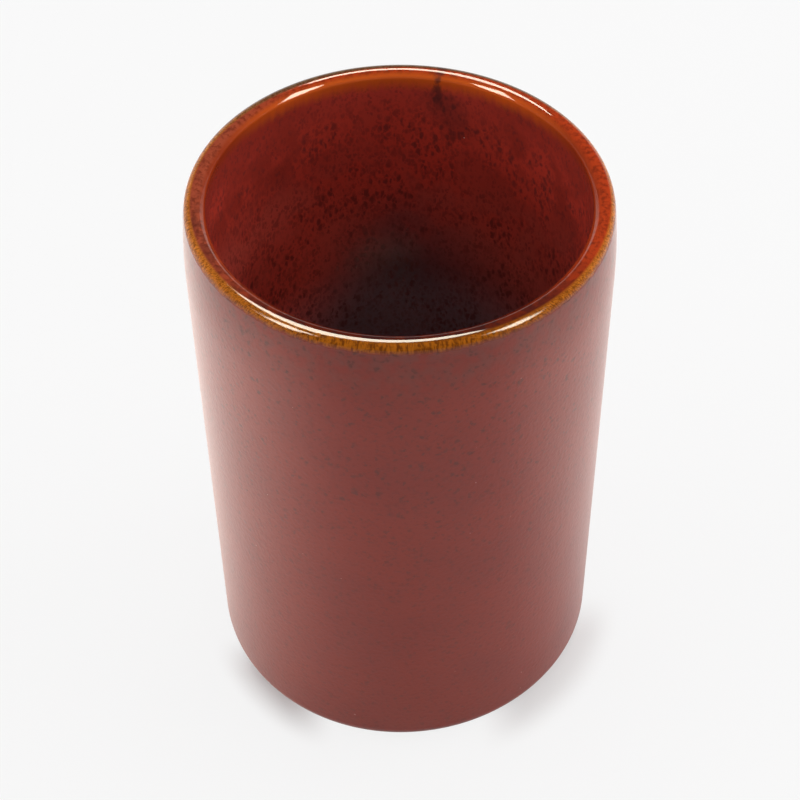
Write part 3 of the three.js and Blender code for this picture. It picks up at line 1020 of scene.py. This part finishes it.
# %% Paint the sweep
sweep_finish, tree, end = new_material("pale_sweep")
rays = put(tree, "ShaderNodeLightPath").outputs
seen = calc(tree, "MAXIMUM", rays["Is Camera Ray"], rays["Is Transmission Ray"])
on_table = put(tree, "ShaderNodeTexCoord").outputs["Object"]
from_cup = vector_measure(tree, "LENGTH", on_table)
table_sides = put(tree, "ShaderNodeSeparateXYZ", {0: on_table}).outputs
to_side = calc(tree, "ABSOLUTE", table_sides["X"])
to_front = vector_measure(tree, "DOT_PRODUCT", on_table, FOOT_FRONT)
from_foot = vector_measure(tree, "DISTANCE", on_table, FOOT_SHADE)
at_foot = ramp(tree, from_foot, *SHADE_REACH)
at_foot = calc(tree, "MULTIPLY", at_foot, ramp(tree, to_side, *SHADE_SIDES))
at_foot = calc(tree, "MULTIPLY", at_foot, ramp(tree, to_front, *SHADE_FRONT))
foot_share = ramp(
    tree, table_sides["X"], *FOOT_LEFT_TO_RIGHT, GLOW_SHARE_LEFT_OF_FOOT, GLOW_SHARE_RIGHT_OF_FOOT,
)
seen = calc(tree, "MULTIPLY", seen, number_mix(tree, at_foot, GLOW_SHARE, foot_share))
mirrored = calc(tree, "MULTIPLY", rays["Is Glossy Ray"], GLOW_SHARE_MIRRORED)
lit = put(tree, "ShaderNodeBsdfDiffuse", {"Color": SWEEP_WHITE}).outputs[0]
glow = put(tree, "ShaderNodeEmission", {"Color": GLOW_WHITE, "Strength": 1.0}).outputs[0]
glow_share = calc(tree, "MAXIMUM", seen, mirrored)
table = put(tree, "ShaderNodeMixShader", {0: glow_share, 1: lit, 2: glow}).outputs[0]
# Painted reflection: a glow on the table that only glossy rays see, brightest at the back left.
leftwards = vector_measure(tree, "DOT_PRODUCT", on_table, LEFT_BACK)
rightwards = vector_measure(tree, "DOT_PRODUCT", on_table, RIGHT_BACK)
left_mirrored_glow = ramp(tree, leftwards, *LEFT_GLOW_REACH, 0.0, LEFT_HAZE)
right_mirrored_glow = ramp(tree, rightwards, *RIGHT_GLOW_REACH, 0.0, RIGHT_HAZE)
mirrored_glow_fade = ramp(tree, from_cup, MIRRORED_GLOW_END, MIRRORED_GLOW_FADE)
side_mirrored_glows = calc(tree, "MULTIPLY", calc(tree, "ADD", left_mirrored_glow, right_mirrored_glow), mirrored_glow_fade)
straight_back = ramp(tree, calc(tree, "DIVIDE", table_sides["Y"], from_cup), *STRAIGHT_BACK)
far_wall = ramp(tree, from_cup, WALL_START, SWEEP_FLAT, 0.0, WALL_HAZE)
far_wall = calc(tree, "MULTIPLY", far_wall, straight_back)
mirrored_glow = calc(tree, "MULTIPLY", calc(tree, "ADD", side_mirrored_glows, far_wall), rays["Is Glossy Ray"])
haze = put(tree, "ShaderNodeEmission", {"Color": HAZE_CREAM, "Strength": mirrored_glow}).outputs[0]
table = put(tree, "ShaderNodeAddShader", {0: table, 1: haze}).outputs[0]
clear = put(tree, "ShaderNodeBsdfTransparent").outputs[0]
from_below = put(tree, "ShaderNodeNewGeometry").outputs["Backfacing"]
sides_apart = put(tree, "ShaderNodeMixShader", {0: from_below, 1: table, 2: clear}).outputs[0]
tree.links.new(sides_apart, end.inputs["Surface"])
sweep_finish.cycles.emission_sampling = "NONE"
sweep_mesh.materials.append(sweep_finish)
print("Material:", sweep_finish.name)

# %% [markdown]
# ## Lamps
# A softbox overhead and two long ones low beside the cup light it together with the world. Their level is
# written as the white that they give on the table, so that with the world's share a colour renders about
# as it is written. A gloss glaze mirrors only the bright heart of a softbox, small and sharp, so the
# softboxes are left out of the reflections, and hearts that only reflections see stand in for them, two of
# them high in front.

# %% Softboxes
LAMP_AIM = Vector((0, 0, HEIGHT / 2))
SOFTBOXES = [
    ("overhead_softbox", Vector((0, 0.25, 0.7)), (0.5, 0.3), 0.23),
    ("left_softbox", Vector((-0.65, -0.05, 0.25)), (0.6, 0.3), 0.15),
    ("right_softbox", Vector((0.64, 0.08, 0.32)), (0.6, 0.3), 0.24),
]
HEARTS = [
    ("overhead_heart", Vector((-0.1, 0.2, 0.65)), (0.42, 0.27)),
    ("left_heart", Vector((-0.52, -0.25, 0.6)), (0.2, 0.32)),
    ("right_heart", Vector((0.52, -0.25, 0.6)), (0.21, 0.34)),
]
HEART_GLOW = 23
HEART_CREAM = (1.0, 0.92, 0.74)


def softbox(name, place, size, power, aim):
    """A rectangular lamp of a size and power, turned to a point."""
    lamp = bpy.data.lights.new(name, "AREA")
    lamp.shape = "RECTANGLE"
    lamp.size, lamp.size_y = size
    lamp.energy = power
    lamp_object = bpy.data.objects.new(name, lamp)
    lamp_object.location = place
    lamp_object.rotation_euler = (aim - place).to_track_quat("-Z", "Y").to_euler()
    lamp_object.visible_camera = False
    bpy.context.scene.collection.objects.link(lamp_object)
    return lamp_object


def reflected_only(name, place, size, glow, aim):
    """A bright face of a glow that nothing but a reflection shows."""
    face = softbox(name, place, size, glow * math.pi * size[0] * size[1], aim)
    face.visible_diffuse = False
    return face


for lamp_name, lamp_place, lamp_size, level in SOFTBOXES:
    upright = lamp_place.z / lamp_place.length
    lamp_power = level * math.pi ** 2 * lamp_place.length_squared / upright
    lamp = softbox(lamp_name, lamp_place, lamp_size, lamp_power, LAMP_AIM)
    lamp.visible_glossy = False
    print(lamp_name, "gives", level, "on the table from", round(lamp_power, 2), "watts")
for heart_name, heart_place, heart_size in HEARTS:
    heart = reflected_only(heart_name, heart_place, heart_size, HEART_GLOW, LAMP_AIM)
    heart.data.color = HEART_CREAM
    print(heart_name, "is", heart_size, "metres")

# %% [markdown]
# ## The world
# A plain pale room fills the shadows from all round and leaves a soft one where the cup meets the table.
# Glaze would show a pale room as well, and the lip would go chalky, so reflections see it much darker.
# Where the camera looks past the table it is white like the sweep.

# %% A plain world
WORLD_LEVEL = 0.45
WORLD_MIRRORED = 0.06
WORLD_SEEN = 0.94
world = bpy.data.worlds.new("plain_room")
bpy.context.scene.world = world
world.use_nodes = True
room = world.node_tree.nodes["Background"]
room.inputs["Color"].default_value = (1, 1, 1, 1)
rays = put(world.node_tree, "ShaderNodeLightPath").outputs
room_level = number_mix(world.node_tree, rays["Is Glossy Ray"], WORLD_LEVEL, WORLD_MIRRORED)
room_level = number_mix(world.node_tree, rays["Is Camera Ray"], room_level, WORLD_SEEN)
world.node_tree.links.new(room_level, room.inputs["Strength"])
bpy.context.scene.view_settings.view_transform = "Standard"
print("World at", WORLD_LEVEL, "and mirrored at", WORLD_MIRRORED)

# %% [markdown]
# ## The camera
# The view is from close by, down into the cup. The outline of the cup settles the view: the rim's ellipse
# gives the height of the eye, and how the sides close in towards the foot gives the distance.

# %% The camera
EYE_ELEVATION = math.radians(46.706)
EYE_DISTANCE = 280 * MM
EYE_ROLL = math.radians(0.825)
EYE_AIM = Vector((-0.19, 2.33, 40.23)) * MM
LENS = 90.56
SENSOR = 36
NEAREST = 10 * MM

camera_data = bpy.data.cameras.new("eye")
camera_data.lens = LENS
camera_data.sensor_width = SENSOR
camera_data.clip_start = NEAREST
camera = bpy.data.objects.new("eye", camera_data)
eye_back = Vector((0, -math.cos(EYE_ELEVATION), math.sin(EYE_ELEVATION)))
eye_turn = Matrix.Rotation(math.pi / 2 - EYE_ELEVATION, 4, "X") @ Matrix.Rotation(-EYE_ROLL, 4, "Z")
camera.matrix_world = Matrix.Translation(EYE_AIM + eye_back * EYE_DISTANCE) @ eye_turn
bpy.context.scene.collection.objects.link(camera)
bpy.context.scene.camera = camera
print("Eye at", [round(c / MM, 1) for c in camera.matrix_world.translation], "mm")
